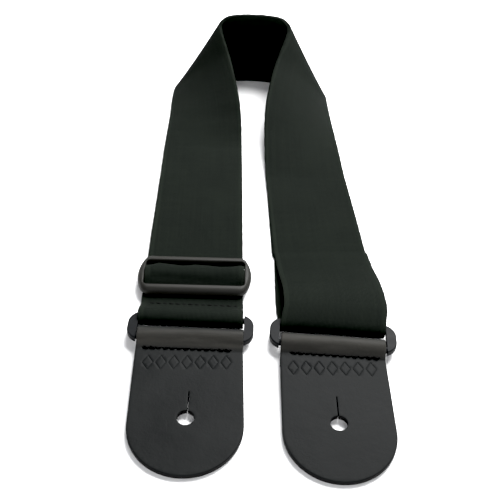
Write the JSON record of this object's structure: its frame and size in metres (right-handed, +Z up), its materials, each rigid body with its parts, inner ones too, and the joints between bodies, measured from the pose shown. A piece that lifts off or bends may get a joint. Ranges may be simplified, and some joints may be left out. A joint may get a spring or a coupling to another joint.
{
  "type": "guitar strap",
  "caption": "Adjustable webbing guitar strap bent like a collar, with a sliding tri-glide, two plastic rings and leather end tabs with button holes.",
  "frame": {"origin": "middle of the strap's base on the table it lies on", "axes": "+Y from the end tabs towards the back of the collar, +Z up, +X to the right seen from the tabs"},
  "size_m": [0.1315, 0.3444, 0.0512],
  "materials": {
    "webbing": "matt black woven nylon",
    "thread": "black sewing thread",
    "slider_plastic": "satin black moulded plastic",
    "ring_plastic": "satin black moulded plastic",
    "leather": "smooth matt black leather"
  },
  "bodies": {
    "webbing": {"webbing_left_leg": "webbing", "webbing_left_turn": "webbing", "webbing_neck": "webbing", "webbing_right_turn": "webbing", "webbing_right_leg": "webbing", "webbing_right_curl": "webbing", "webbing_left_loop": "webbing", "left_loop_stitches": "thread"},
    "slider": {"slider_frame": "slider_plastic", "webbing_slider_hump": "webbing", "slider_hump_stitches": "thread"},
    "left_ring": {"left_ring": "ring_plastic"},
    "left_tab": {"left_tab": "leather", "left_tab_stitches": "thread"},
    "right_ring": {"right_ring": "ring_plastic"},
    "right_tab": {"right_tab": "leather", "right_tab_stitches": "thread"}
  },
  "joints": [
    {"name": "slider_slide", "type": "slide", "parent": "webbing", "child": "slider", "axis": [-0.0335, 0.9994, 0], "range_m": [0, 0.1]},
    {"name": "left_ring_hinge", "type": "hinge", "parent": "webbing", "child": "left_ring", "pos_m": [-0.032, -0.0861, 0.0049], "axis": [-1, 0, 0], "range_deg": [0, 75]},
    {"name": "left_tab_hinge", "type": "hinge", "parent": "left_ring", "child": "left_tab", "pos_m": [-0.032, -0.0985, 0.0049], "axis": [-1, 0, 0], "range_deg": [0, 100]},
    {"name": "right_ring_hinge", "type": "hinge", "parent": "webbing", "child": "right_ring", "pos_m": [0.03656, -0.08781, 0.0049], "axis": [-0.999, 0.045, 0], "range_deg": [0, 75]},
    {"name": "right_tab_hinge", "type": "hinge", "parent": "right_ring", "child": "right_tab", "pos_m": [0.036, -0.1002, 0.0049], "axis": [-0.999, 0.045, 0], "range_deg": [0, 100]}
  ]
}
